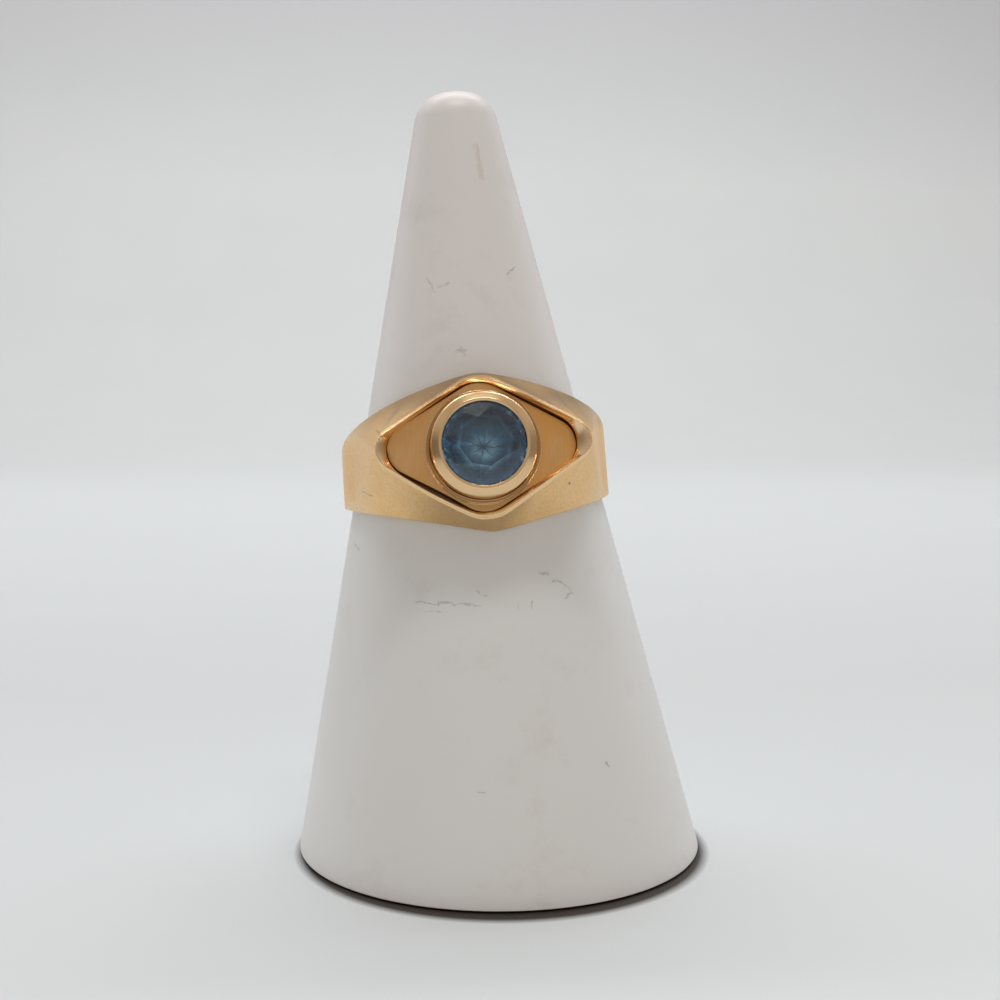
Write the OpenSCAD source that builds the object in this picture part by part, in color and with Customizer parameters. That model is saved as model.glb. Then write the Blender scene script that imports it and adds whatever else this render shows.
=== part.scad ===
// Gold ring with a round blue spinel in a bezel, standing on a white ring cone.
// The band is one casting: a thin shank that widens into a lozenge head with a
// sunk pocket. A lozenge plate with the bezel soldered on it lies in the pocket.
// Lengths are in millimetres. The cone stands on Z = 0 and the stone faces -Y.

/* [Ring cone] */
// Width of the cone's foot from left to right
cone_base_d = 30.1; // [29.8:0.1:33]
// Height of the cone's tip above the table
cone_h = 55.6; // [53:0.1:57]
// Angle between the cone's axis and its side
cone_half_angle = 12.6; // [12:0.1:13.2]
// Lean of the cone's axis towards -X
cone_lean = 3.2; // [0:0.1:5]
// Radius that rounds the tip
tip_round = 2.4; // [1.5:0.1:2.5]

/* [Band] */
// Diameter of the finger hole
bore_d = 18.8; // [17.5:0.1:18.9]
// Thickness of the shank's wall at the back and sides
shank_wall = 0.46; // [0.4:0.02:1.2]
// Width of the shank at the back
back_w = 3.3; // [3:0.1:4]
// Width of the band through the middle of the head
head_w = 11.2; // [10.8:0.1:11.8]
// Width that the head's straight taper would have at the sides
taper_w = 3.6; // [3:0.1:4]
// Room left between the band and the cone where they touch
seat_gap = 0.04; // [0.04:0.01:0.2]

/* [Head] */
// Distance from the finger hole's axis to the rim at its top and bottom corners
rim_h = 11.95; // [11.9:0.05:12.3]
// Extra height of the rim at its left and right corners
rim_rise = 0.8; // [0.4:0.05:0.9]
// Length of the rim's lozenge, before its corners are rounded
rim_l = 16.6; // [16.4:0.1:16.9]
// Width of the rim's lozenge, before its corners are rounded
rim_w = 9.9; // [9.8:0.1:10.1]
// Radius of the rim's left and right corners
rim_tip_r = 1.2; // [0.8:0.1:1.3]
// Radius of the rim's top and bottom corners
rim_vertex_r = 1.6; // [1:0.1:1.8]
// Lean of the rim's top corner to the left and its bottom corner to the right
rim_skew = 0.03; // [0:0.01:0.04]
// Turn of the band's lower peak towards the right
low_peak_turn = 3; // [0:0.5:4]
// Share of the taper that the upper edge takes on the right
right_taper = 0.88; // [0.85:0.01:1]
// Turn at which the band's edge lies below the rim's left or right corner
flank_end = 33; // [30:1:36]
// Turn at which the shoulders run out into the shank
shoulder_end = 64; // [60:1:70]
// Diameter of the hole behind the stone
azure_d = 3.4; // [3:0.1:3.8]

/* [Setting] */
// Length of the plate, before its corners are rounded
plate_l = 16.2; // [15.9:0.1:16.3]
// Width of the plate, before its corners are rounded
plate_w = 9.3; // [9:0.1:9.4]
// Radius of the plate's left and right corners
plate_tip_r = 1.8; // [1.5:0.1:2]
// Radius of the plate's top and bottom corners
plate_vertex_r = 1.5; // [1:0.1:2]
// Distance from the finger hole's axis to the plate's face
plate_h = 11.65; // [11.5:0.05:11.75]
// Thickness of the plate
plate_t = 0.7; // [0.5:0.05:0.8]
// Turn of the plate in its pocket, clockwise seen from the front
plate_turn = 1; // [0:0.25:1]
// Space between the plate and the pocket
plate_gap = 0.08; // [0.08:0.01:0.1]
// Diameter of the step at the foot of the bezel
step_d = 7.7; // [7.6:0.1:8]
// Diameter of the bezel's wall
bezel_d = 7.14; // [7:0.02:7.3]
// Diameter of the bezel's mouth, which holds the stone down
mouth_d = 5.66; // [5.6:0.02:5.74]
// Height of the bezel's mouth above the plate
bezel_h = 1.65; // [1.55:0.05:1.75]

/* [Stone] */
// Diameter of the stone's girdle
stone_d = 6.0; // [5.9:0.02:6]
// Diameter of the table as a share of the girdle's
table_share = 0.56; // [0.52:0.01:0.6]
// Height of the crown above the girdle
crown_h = 0.78; // [0.7:0.02:0.9]
// Depth of the pavilion below the girdle
pavilion_h = 2.6; // [2.4:0.05:2.7]
// Thickness of the girdle
girdle_t = 0.12; // [0.08:0.02:0.16]
// Space between the stone and its seat
stone_gap = 0.03; // [0.02:0.01:0.05]
// Turn of the stone in its bezel
stone_turn = 10; // [0:1:22]

/* [Hidden] */

gold = "#c99a5b";
stone_blue = "#3c5f78";
cone_white = "#d5d1cd";

big = 200;
cut = 0.5;
bore_r = bore_d / 2;
out_r = bore_r + shank_wall;
stone_r = stone_d / 2;
table_r = stone_r * table_share;

// The cone's apex, above the middle of its foot
slope_left = tan(cone_half_angle - cone_lean);
slope_right = tan(cone_half_angle + cone_lean);
apex_h = cone_base_d / (slope_left + slope_right);
apex_x = -apex_h * (slope_right - slope_left) / 2;
// Distance from the apex down the axis to the flat of the tip
tip_drop = (apex_h - cone_h) / cos(cone_lean);

// The ring leans back until the inside of its head lies along the cone's front.
// It has slid down until the lower inner edge of its back meets the cone.
seat_r = bore_r - seat_gap;
seat_run = 2 * seat_r / tan(2 * cone_half_angle) - back_w / 2;
ring_drop = seat_run * cos(cone_half_angle) + seat_r * sin(cone_half_angle);
ring_back = seat_r * cos(cone_half_angle) - seat_run * sin(cone_half_angle);

// Corner rounding of the band's outer edges
edge_r = 0.16;
// Roundness of the corner at the top and bottom of the head, as an angle
peak_round = 3.5;
// Width over which the taper eases into the back of the shank
taper_ease = 0.62;
// Least half width of the crest, which keeps its facets apart
crest_min = 0.06;
// How softly the shoulder's edge leaves the rim's corner
shoulder_ease = 1.6;
// Turns round the band at which its sections stand
flank_sections = 20;
shoulder_sections = 14;
back_sections = 24;
half_sections = concat(
    [for (i = [1 : flank_sections]) flank_end * i / flank_sections],
    [for (i = [1 : shoulder_sections])
        flank_end + (shoulder_end - flank_end) * i / shoulder_sections],
    [for (i = [1 : back_sections - 1]) shoulder_end + (180 - shoulder_end) * i / back_sections]
);
half_count = len(half_sections);
sections = concat(
    [-180],
    [for (i = [half_count - 1 : -1 : 0]) -half_sections[i]],
    [0],
    half_sections
);

// Height and edge rounding of the step round the bezel's foot
step_h = 0.16;
step_round = 0.05;
// Height at which the bezel's wall begins to lean over the stone
bezel_straight = 0.5;
// Thickness, rounding and outer curve of the lip that holds the stone
lip_t = 0.1;
lip_round = 0.08;
lip_curve = 1.35;
// Radius of the opening below the stone's seat
throat_r = azure_d / 2 + 0.2;
// The stone's star corners lie in the planes of its kites, above the girdle
star_r = stone_r * 0.8;
star_rise = crown_h * (stone_r - star_r * cos(22.5)) / (stone_r - table_r);
// The mouth just closes on the crown's steepest facets, and so sets the girdle's height
half_slope = star_rise / (stone_r - star_r);
mouth_h = plate_h + bezel_h;
lip_h = mouth_h - lip_t;
girdle_h = lip_h - (stone_r - mouth_d / 2) * half_slope - stone_gap - girdle_t / 2;

// Places a child in the frame of the ring: its hole along Z, the stone towards -Y
module on_finger_hole() {
    translate([apex_x, 0, apex_h])
        rotate([0, -cone_lean, 0])
            translate([0, ring_back, -ring_drop])
                rotate([-cone_half_angle, 0, 0])
                    children();
}

// Places a child in the frame of the setting: Z out of the ring through the stone,
// with its zero at the middle of the finger hole
module facing_front() {
    on_finger_hole()
        rotate([90, 0, 0])
            children();
}

// Arc of points about a centre, from one angle to another
function arc(x, y, r, a0, a1, n) =
    [for (i = [0 : n]) let (a = a0 + (a1 - a0) * i / n) [x + r * cos(a), y + r * sin(a)]];

// Angle between a lozenge's side and its long diagonal
function lozenge_lean(l, w) = atan2(w, l);

// Outline of a lozenge with the sharp diagonals l and w, its corners rounded
function lozenge(l, w, tip_r, vertex_r) =
    let (lean = lozenge_lean(l, w))
    let (tip_x = l / 2 - tip_r / sin(lean))
    let (vertex_y = w / 2 - vertex_r / cos(lean))
    let (side = 90 - lean)
    concat(
        arc(tip_x, 0, tip_r, -side, side, 12),
        arc(0, vertex_y, vertex_r, side, 180 - side, 6),
        arc(-tip_x, 0, tip_r, 180 - side, 180 + side, 12),
        arc(0, -vertex_y, vertex_r, 180 + side, 360 - side, 6)
    );

// The rim's lozenge: where its rounded corners end, and its half width along it
rim_lean = lozenge_lean(rim_l, rim_w);
rim_tip_x = rim_l / 2 - rim_tip_r / sin(rim_lean);
rim_vertex_y = rim_w / 2 - rim_vertex_r / cos(rim_lean);
rim_end = rim_tip_x + rim_tip_r;
function rim_half(x) =
    x >= rim_end ? 0 :
    x > rim_tip_x + rim_tip_r * sin(rim_lean) ? sqrt(pow(rim_tip_r, 2) - pow(x - rim_tip_x, 2)) :
    x < rim_vertex_r * sin(rim_lean) ? rim_vertex_y + sqrt(pow(rim_vertex_r, 2) - x * x) :
    rim_w / 2 * (1 - 2 * x / rim_l);
function rim_level(x) = rim_h + rim_rise * abs(x) / rim_end;

// Half width of the band at a turn from its peak
function band_half(t) =
    let (turn = sqrt(t * t + peak_round * peak_round))
    let (over = head_w / 2 + (taper_w - head_w) / 2 * turn / 90 - back_w / 2)
    back_w / 2 + (over + sqrt(over * over + taper_ease * taper_ease)) / 2;

// The cast head is a little uneven: its two edges taper by slightly different rules
function upper_half(t) = band_half(t > 0 ? t * right_taper : t);
function lower_half(t) = band_half(t - low_peak_turn * cos(t));

// Point of the band at a distance from the hole's axis, a turn and a height
function on_band(r, t, z) = [r * sin(t), -r * cos(t), z];

// Point of the crest at a turn, on the upper side (1) or the lower side (-1).
// It follows the rim to its corner, then the shoulder's edge down to the shank.
function crest(t, side, w) =
    let (a = abs(t), hand = sign(t))
    let (x = rim_end * sin(90 * min(1, a / flank_end)))
    let (half = max(crest_min, rim_half(x)))
    let (corner = [hand * rim_end, -rim_level(rim_end), side * crest_min])
    let (foot = on_band(out_r, hand * shoulder_end, side * (w - edge_r)))
    let (share = (a - flank_end) / (shoulder_end - flank_end))
    a <= flank_end ? [hand * x - side * half * rim_skew, -rim_level(x), side * half] :
    a < shoulder_end ? corner + (foot - corner) * pow(share, shoulder_ease) :
    on_band(out_r, t, side * (w - edge_r));

// One section of the band: its inside, lower flank, crest and upper flank
function section(t) =
    let (end = sign(t) * shoulder_end)
    let (up = upper_half(t), low = lower_half(t))
    let (on_head = abs(t) < shoulder_end)
    let (top = crest(t, 1, on_head ? upper_half(end) : up))
    let (bottom = crest(t, -1, on_head ? lower_half(end) : low))
    let (soft = 0.3 * edge_r)
    let (top_edge = on_band(out_r - soft, t, up - soft))
    let (bottom_edge = on_band(out_r - soft, t, soft - low))
    [
        on_band(bore_r - cut, t, -low),
        on_band(out_r - edge_r, t, -low),
        bottom_edge,
        (bottom_edge + bottom) / 2,
        bottom,
        (bottom + top) / 2,
        top,
        (top_edge + top) / 2,
        top_edge,
        on_band(out_r - edge_r, t, up),
        on_band(bore_r - cut, t, up)
    ];

// Closed skin through the sections, round the finger hole
module band_blank() {
    n = len(sections);
    k = len(section(0));
    points = [for (t = sections) each section(t)];
    faces = [
        for (i = [0 : n - 1]) for (j = [0 : k - 1])
            let (i2 = (i + 1) % n, j2 = (j + 1) % k)
            each [
                [i * k + j, i * k + j2, i2 * k + j2],
                [i * k + j, i2 * k + j2, i2 * k + j]
            ]
    ];
    polyhedron(points = points, faces = faces);
}

// The pocket: straight walls round the plate, then a slope out to the rim's edge
module pocket() {
    foot = plate_h - plate_t - plate_gap;
    inner = lozenge(plate_l + 4 * plate_gap, plate_w + 4 * plate_gap, plate_tip_r, plate_vertex_r);
    outer = lozenge(rim_l, rim_w, rim_tip_r, rim_vertex_r);
    count = len(inner);
    low = [for (p = inner) [p[0], p[1], plate_h]];
    high = [for (p = outer) [p[0] - p[1] * rim_skew, p[1], rim_level(p[0])]];
    // The slope carries on past the rim at the same angle
    past = 1.3;
    points = concat(
        [for (p = inner) [p[0], p[1], foot]],
        low,
        [for (i = [0 : count - 1]) low[i] + (high[i] - low[i]) * past]
    );
    faces = concat(
        [[for (i = [0 : count - 1]) i]],
        [for (m = [0, 1]) for (i = [0 : count - 1])
            let (a = m * count + i, b = m * count + (i + 1) % count)
            each [[a, a + count, b + count], [a, b + count, b]]],
        [[for (i = [count - 1 : -1 : 0]) 2 * count + i]]
    );
    polyhedron(points = points, faces = faces);
}

module band() {
    color(gold)
        on_finger_hole()
            difference() {
                band_blank();
                cylinder(r = bore_r, h = big, center = true, $fn = 128);
                rotate([90, 0, 0])
                    pocket();
                rotate([90, 0, 0])
                    cylinder(d = azure_d, h = rim_h, $fn = 48);
            }
}

// Section of the bezel: distance from its axis and height. The wall stands on a low
// step, then leans over the stone in a soft curve that ends in a rounded lip.
function bezel_outline() =
    let (wall = bezel_d / 2, mouth = mouth_d / 2, seat = stone_r + stone_gap)
    let (step_top = plate_h + step_h, bend_h = plate_h + bezel_straight)
    let (lip_r = mouth + lip_round, ledge_h = girdle_h - girdle_t / 2)
    concat(
        [
            [throat_r, plate_h - plate_t],
            [step_d / 2, plate_h - plate_t],
            [step_d / 2, step_top - step_round],
            [step_d / 2 - step_round, step_top],
            [wall, step_top]
        ],
        [for (a = [0 : 15 : 90])
            [lip_r + (wall - lip_r) * pow(cos(a), lip_curve), bend_h + (mouth_h - bend_h) * sin(a)]],
        [
            [mouth, mouth_h - lip_round / 2],
            [mouth, lip_h],
            [seat, girdle_h + girdle_t / 2 + stone_gap],
            [seat, ledge_h],
            [throat_r, ledge_h - (seat - throat_r) * pavilion_h / stone_r - stone_gap]
        ]
    );

module setting() {
    color(gold)
        facing_front()
            rotate([0, 0, -plate_turn])
                union() {
                    difference() {
                        translate([0, 0, plate_h - plate_t])
                            linear_extrude(plate_t)
                                polygon(lozenge(plate_l, plate_w, plate_tip_r, plate_vertex_r));
                        cylinder(r = step_d / 2 - cut, h = big, $fn = 96);
                    }
                    rotate_extrude($fn = 96)
                        polygon(bezel_outline());
                }
}

// Corners of a regular polygon that lies level
function corners(n, r, z, turn) =
    [for (i = [0 : n - 1]) let (a = 360 / n * i + turn) [r * cos(a), r * sin(a), z]];

// Round brilliant: 8 stars, 8 kites and 16 halves above, 8 mains and 16 halves below
module brilliant() {
    girdle_top = girdle_h + girdle_t / 2;
    girdle_low = girdle_h - girdle_t / 2;
    // The lower corners lie in the planes of the mains
    lower_r = stone_r * 0.24;
    lower_h = girdle_low - pavilion_h * (stone_r - lower_r * cos(22.5)) / stone_r;
    points = concat(
        corners(8, table_r, girdle_top + crown_h, 0),
        corners(8, star_r, girdle_top + star_rise, 22.5),
        corners(16, stone_r, girdle_top, 0),
        corners(16, stone_r, girdle_low, 0),
        corners(8, lower_r, lower_h, 22.5),
        [[0, 0, girdle_low - pavilion_h]]
    );
    star = 8;
    top = 16;
    low = 32;
    deep = 48;
    culet = 56;
    faces = concat(
        [[for (i = [7 : -1 : 0]) i]],
        [for (i = [0 : 7])
            let (n = (i + 1) % 8, g = 2 * i, m = 2 * i + 1, h = (2 * i + 2) % 16)
            each [
                [i, n, star + i],
                [i, star + i, top + g],
                [n, top + h, star + i],
                [star + i, top + m, top + g],
                [star + i, top + h, top + m],
                [top + g, top + m, low + m],
                [top + g, low + m, low + g],
                [top + m, top + h, low + h],
                [top + m, low + h, low + m],
                [low + g, low + m, deep + i],
                [low + m, low + h, deep + i],
                [low + h, deep + n, deep + i],
                [deep + i, deep + n, culet]
            ]]
    );
    polyhedron(points = points, faces = faces);
}

module spinel() {
    color(stone_blue)
        facing_front()
            rotate([0, 0, stone_turn])
                brilliant();
}

// The cone: a flat tip with a wide round edge, its side running down to the table
module ring_cone() {
    tan_a = tan(cone_half_angle);
    run = apex_h * 1.2;
    round_x = (tip_drop + tip_round) * tan_a - tip_round / cos(cone_half_angle);
    round_y = -tip_drop - tip_round;
    outline = concat(
        [[0, -run], [run * tan_a, -run]],
        arc(round_x, round_y, tip_round, cone_half_angle, 90, 10),
        [[0, -tip_drop]]
    );
    color(cone_white)
        difference() {
            translate([apex_x, 0, apex_h])
                rotate([0, -cone_lean, 0])
                    rotate_extrude($fn = 180)
                        polygon(outline);
            translate([-big / 2, -big / 2, -big])
                cube(big);
        }
}

band();
setting();
spinel();
ring_cone();
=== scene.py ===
from math import atan2, cos, pi, radians, sin, sqrt, tan

import bmesh
import bpy
import numpy as np
from mathutils import Matrix, Vector


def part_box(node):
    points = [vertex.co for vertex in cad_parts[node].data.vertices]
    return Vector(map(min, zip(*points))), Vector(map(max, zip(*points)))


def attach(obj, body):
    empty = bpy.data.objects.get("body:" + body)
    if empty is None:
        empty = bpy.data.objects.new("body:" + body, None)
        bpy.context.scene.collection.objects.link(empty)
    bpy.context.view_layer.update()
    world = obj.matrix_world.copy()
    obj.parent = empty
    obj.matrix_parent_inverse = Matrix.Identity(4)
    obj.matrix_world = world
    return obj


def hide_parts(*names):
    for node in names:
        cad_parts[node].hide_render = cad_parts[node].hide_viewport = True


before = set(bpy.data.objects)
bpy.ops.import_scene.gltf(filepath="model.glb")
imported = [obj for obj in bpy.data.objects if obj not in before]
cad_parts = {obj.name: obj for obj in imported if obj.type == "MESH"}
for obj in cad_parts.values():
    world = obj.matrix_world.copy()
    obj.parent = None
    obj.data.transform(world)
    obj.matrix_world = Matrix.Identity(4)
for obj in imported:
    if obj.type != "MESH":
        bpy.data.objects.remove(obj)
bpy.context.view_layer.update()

# Ring cone
# A plain display cone of white resin, cast in one piece and standing on its flat foot. Its
# axis leans to the left. The tip and the foot's edge are rounded, and its gloss is worn.
mm = 0.001
cone_low, cone_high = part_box("ring_cone")
cone_half_angle = radians(12.6)
cone_lean = radians(3.2)
cone_tip_round = 2.4 * mm
cone_steps = 192
side_steps = 40
tip_steps = 14
foot_edge = 0.2 * mm
# The foot's edge is rounded off underneath, in steps of (height, distance inwards) in millimetres
foot_steps = [(0.17, 0.02), (0.13, 0.07), (0.11, 0.2), (0.10, 1.4), (0.0, 1.5)]
cone_h = cone_high.z - cone_low.z
cone_foot_w = cone_high.x - cone_low.x

# The axis and the apex follow from the foot's width and the two sides
slope_left = tan(cone_half_angle - cone_lean)
slope_right = tan(cone_half_angle + cone_lean)
apex_h = cone_foot_w / (slope_left + slope_right)
apex_x = -apex_h * (slope_right - slope_left) / 2
cone_top = (apex_h - cone_h) / cos(cone_lean)
cone_axis = Matrix.Translation((apex_x, 0, apex_h)) @ Matrix.Rotation(-cone_lean, 4, "Y")

resin_below = (0.79, 0.79, 0.78, 1)
resin_above = (0.80, 0.76, 0.75, 1)
resin_cloud = (0.76, 0.74, 0.72, 1)
resin_grime = (0.62, 0.58, 0.54, 1)
scuff_grey = (0.20, 0.19, 0.18, 1)
stain_tan = (0.62, 0.53, 0.41, 1)
# Scuffs and hairs on the cone's front, in millimetres: x1, z1, x2, z2, half width, strength
scuffs = [
    (-5.5, 42.1, -4.9, 41.1, 0.10, 0.30),
    (-4.7, 41.3, -3.9, 41.6, 0.09, 0.30),
    (0.2, 42.3, 0.8, 42.8, 0.10, 0.50),
    (-3.4, 36.9, -2.8, 37.0, 0.13, 0.32),
    (-3.1, 37.1, -3.0, 36.5, 0.10, 0.25),
    (-6.4, 19.8, -4.9, 19.7, 0.10, 0.42),
    (-4.9, 19.8, -4.3, 19.9, 0.12, 0.45),
    (-4.3, 19.8, -2.1, 19.8, 0.07, 0.36),
    (-5.9, 19.2, -4.8, 19.3, 0.05, 0.30),
    (-2.4, 20.6, -1.6, 20.4, 0.06, 0.30),
    (2.0, 21.8, 2.6, 21.7, 0.14, 0.42),
    (3.0, 21.2, 3.6, 21.1, 0.10, 0.42),
    (3.6, 21.1, 4.4, 20.3, 0.05, 0.34),
    (3.9, 20.0, 4.2, 20.3, 0.11, 0.42),
    (1.4, 20.0, 1.4, 19.5, 0.05, 0.48),
    (0.5, 19.8, 0.5, 19.3, 0.04, 0.30),
    (-10.7, 23.1, -10.4, 22.9, 0.11, 0.36),
    (6.5, 8.9, 6.7, 8.5, 0.09, 0.55),
    (-2.4, 7.7, -2.0, 7.6, 0.08, 0.40),
]
# A tan stain below the tip, listed in the same way
tip_stain = (-1.9, 51.4, -1.5, 49.1, 0.22, 0.40)


class Nodes:
    """Builds a node tree in few words: make() adds a node, sets its values and wires its inputs."""

    def __init__(self, tree):
        self.tree = tree

    def make(self, kind, inputs=None, **settings):
        node = self.tree.nodes.new(kind)
        for name, value in settings.items():
            setattr(node, name, value)
        for name, value in (inputs or {}).items():
            self.put(node.inputs[name], value)
        return node

    def put(self, socket, value):
        if isinstance(value, bpy.types.Node):
            value = value.outputs[0]
        if isinstance(value, bpy.types.NodeSocket):
            self.tree.links.new(value, socket)
        else:
            socket.default_value = value

    def math(self, operation, *values):
        node = self.make("ShaderNodeMath", operation=operation)
        for socket, value in zip(node.inputs, values):
            self.put(socket, value)
        return node.outputs[0]

    def times(self, product, *values):
        """The product of all the values."""
        for value in values:
            product = self.math("MULTIPLY", product, value)
        return product

    def mix(self, share, a, b):
        """Colour a, and as much of colour b over it as the share says."""
        node = self.make("ShaderNodeMix", data_type="RGBA")
        self.put(node.inputs["Factor"], share)
        self.put(node.inputs["A"], a)
        self.put(node.inputs["B"], b)
        return node.outputs["Result"]

    def ramp(self, value, low, high, to_low=0.0, to_high=1.0):
        """The way of a value from low to high, as a number from to_low to to_high."""
        node = self.make("ShaderNodeMapRange", {"From Min": low, "From Max": high,
                                                "To Min": to_low, "To Max": to_high})
        self.put(node.inputs["Value"], value)
        return node.outputs[0]

    def noise(self, place, per_mm, detail=3.0, roughness=0.55, stretch=(1, 1, 1), turn=(0, 0, 0)):
        """Noise with a number of cells in each millimetre, turned and then drawn out along an axis."""
        turned = self.make("ShaderNodeMapping", {"Vector": place, "Rotation": turn})
        scale = [per_mm / mm / s for s in stretch]
        drawn = self.make("ShaderNodeMapping", {"Vector": turned, "Scale": scale})
        return self.make("ShaderNodeTexNoise", {"Vector": drawn, "Scale": 1.0, "Detail": detail,
                                                "Roughness": roughness}).outputs["Fac"]

    def vector(self, operation, a, b=None, scale=None):
        node = self.make("ShaderNodeVectorMath", operation=operation)
        self.put(node.inputs[0], a)
        if b is not None:
            self.put(node.inputs[1], b)
        if scale is not None:
            self.put(node.inputs["Scale"], scale)
        return node.outputs["Value" if operation in ("DOT_PRODUCT", "DISTANCE") else "Vector"]

    def along(self, place, axis):
        """How far a place lies along the X, Y or Z axis."""
        return self.make("ShaderNodeSeparateXYZ", {"Vector": place}).outputs[axis]

    def layer(self, name):
        """A value that the mesh holds in a layer of this name."""
        return self.make("ShaderNodeAttribute", attribute_name=name).outputs["Fac"]

    def bump(self, height, depth_mm, below=None):
        inputs = {"Height": height, "Strength": 1.0, "Distance": depth_mm * mm}
        node = self.make("ShaderNodeBump", inputs)
        if below is not None:
            self.put(node.inputs["Normal"], below)
        return node.outputs[0]


def new_material(name):
    """A material with an empty tree, its Principled shader and its object coordinates."""
    material = bpy.data.materials.new(name)
    material.use_nodes = True
    material.node_tree.nodes.clear()
    nodes = Nodes(material.node_tree)
    shader = nodes.make("ShaderNodeBsdfPrincipled")
    nodes.make("ShaderNodeOutputMaterial", {"Surface": shader})
    place = nodes.make("ShaderNodeTexCoord").outputs["Object"]
    return material, nodes, shader, place


def new_tree(name, given, result):
    """A geometry tree with its Nodes and its inputs, which are given as {name: kind}."""
    tree = bpy.data.node_groups.new(name, "GeometryNodeTree")
    for socket_name, kind in given.items():
        tree.interface.new_socket(socket_name, in_out="INPUT", socket_type="NodeSocket" + kind)
    tree.interface.new_socket(result, in_out="OUTPUT", socket_type="NodeSocketGeometry")
    nodes = Nodes(tree)
    return tree, nodes, nodes.make("NodeGroupInput").outputs


def grown(name, seed_mesh, tree, inputs):
    """The plain mesh that a tree makes of a seed mesh, with the modifier gone."""
    holder = bpy.data.objects.new(name + "_seed", seed_mesh)
    bpy.context.scene.collection.objects.link(holder)
    modifier = holder.modifiers.new(tree.name, "NODES")
    modifier.node_group = tree
    for item in tree.interface.items_tree:
        if item.item_type == "SOCKET" and item.in_out == "INPUT" and item.name in inputs:
            modifier[item.identifier] = inputs[item.name]
    holder.update_tag()
    evaluated = holder.evaluated_get(bpy.context.evaluated_depsgraph_get())
    mesh = bpy.data.meshes.new_from_object(evaluated)
    mesh.name = name
    bpy.data.objects.remove(holder)
    return mesh


def profile_mesh(name, profile):
    """A line of points at (distance from the axis, height) for the lathe to turn."""
    mesh = bpy.data.meshes.new(name)
    mesh.from_pydata([(r, 0, z) for r, z in profile], [(i, i + 1) for i in range(len(profile) - 1)], [])
    return mesh


def finish_piece(name, mesh, material, nodes_replaced, smooth_to=40):
    """Makes the mesh a smooth piece with outward faces, which rides on the part's one body."""
    shape = bmesh.new()
    shape.from_mesh(mesh)
    bmesh.ops.remove_doubles(shape, verts=shape.verts, dist=0.0005 * mm)
    bmesh.ops.dissolve_degenerate(shape, dist=0.0005 * mm, edges=shape.edges)
    bmesh.ops.recalc_face_normals(shape, faces=shape.faces)
    for edge in shape.edges:
        if len(edge.link_faces) == 2:
            edge.smooth = edge.calc_face_angle(0) < radians(smooth_to)
    for face in shape.faces:
        face.smooth = True
    shape.to_mesh(mesh)
    shape.free()
    mesh.materials.clear()
    mesh.materials.append(material)
    piece = bpy.data.objects.new(name, mesh)
    bpy.context.scene.collection.objects.link(piece)
    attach(piece, "root")
    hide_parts(*nodes_replaced)


def shaken_place(nodes, place, shake_mm):
    """The place as seen from the front, with Y left out, and shaken a little by noise."""
    waver = nodes.make("ShaderNodeTexNoise", {"Vector": place, "Scale": 2.2 / mm, "Detail": 3.0})
    shake = nodes.vector("SCALE", nodes.vector("SUBTRACT", waver.outputs["Color"], (0.5, 0.5, 0.5)),
                         scale=shake_mm * mm)
    return nodes.vector("MULTIPLY", nodes.vector("ADD", place, shake), (1, 0, 1))


def near_line(nodes, seen, x1, z1, x2, z2, half_width, strength):
    """Mask of what lies close to a line from (x1, z1) to (x2, z2), in millimetres."""
    start, along = Vector((x1, 0, z1)) * mm, Vector((x2 - x1, 0, z2 - z1)) * mm
    out = nodes.vector("SUBTRACT", seen, start)
    share = nodes.math("MINIMUM", 1, nodes.math("MAXIMUM", 0, nodes.vector(
        "DOT_PRODUCT", out, along / along.length_squared)))
    away = nodes.vector("DISTANCE", out, nodes.vector("SCALE", along, scale=share))
    return nodes.ramp(away, half_width * mm, half_width * mm * 0.3, 0, strength)


def near_lines(nodes, seen, lines):
    """The strongest of the masks round a list of lines."""
    masks = [near_line(nodes, seen, *line) for line in lines]
    marked = masks[0]
    for mask in masks[1:]:
        marked = nodes.math("MAXIMUM", marked, mask)
    return marked


cone_white, nodes, shader, place = new_material("white_resin")
clouds = nodes.noise(place, 0.07, detail=4)
grain = nodes.noise(place, 3.0, detail=2)
grime_and_seam_shade = nodes.noise(place, 0.25, detail=6, roughness=0.65)
patchy = nodes.ramp(nodes.noise(place, 4.0, detail=2), 0.35, 0.55, 0.35, 1.0)
seen = shaken_place(nodes, place, 0.55)
on_front = nodes.math("LESS_THAN", nodes.along(place, "Y"), 0)
scuffed = nodes.times(near_lines(nodes, seen, scuffs), on_front, patchy)
stained = nodes.times(near_line(nodes, seen, *tip_stain), on_front)
high_up = nodes.ramp(nodes.along(place, "Z"), 26 * mm, 42 * mm)
resin = nodes.mix(high_up, resin_below, resin_above)
resin = nodes.mix(nodes.ramp(clouds, 0.35, 0.65, 0, 0.5), resin, resin_cloud)
resin = nodes.mix(nodes.ramp(grime_and_seam_shade, 0.56, 0.75, 0, 0.35), resin, resin_grime)
resin = nodes.mix(stained, resin, stain_tan)
resin = nodes.mix(scuffed, resin, scuff_grey)
nodes.put(shader.inputs["Base Color"], resin)
nodes.put(shader.inputs["Roughness"], nodes.ramp(clouds, 0.3, 0.7, 0.28, 0.42))
shader.inputs["IOR"].default_value = 1.5
shader.inputs["Subsurface Weight"].default_value = 0.0
nodes.put(shader.inputs["Normal"], nodes.bump(grain, 0.004))

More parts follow.
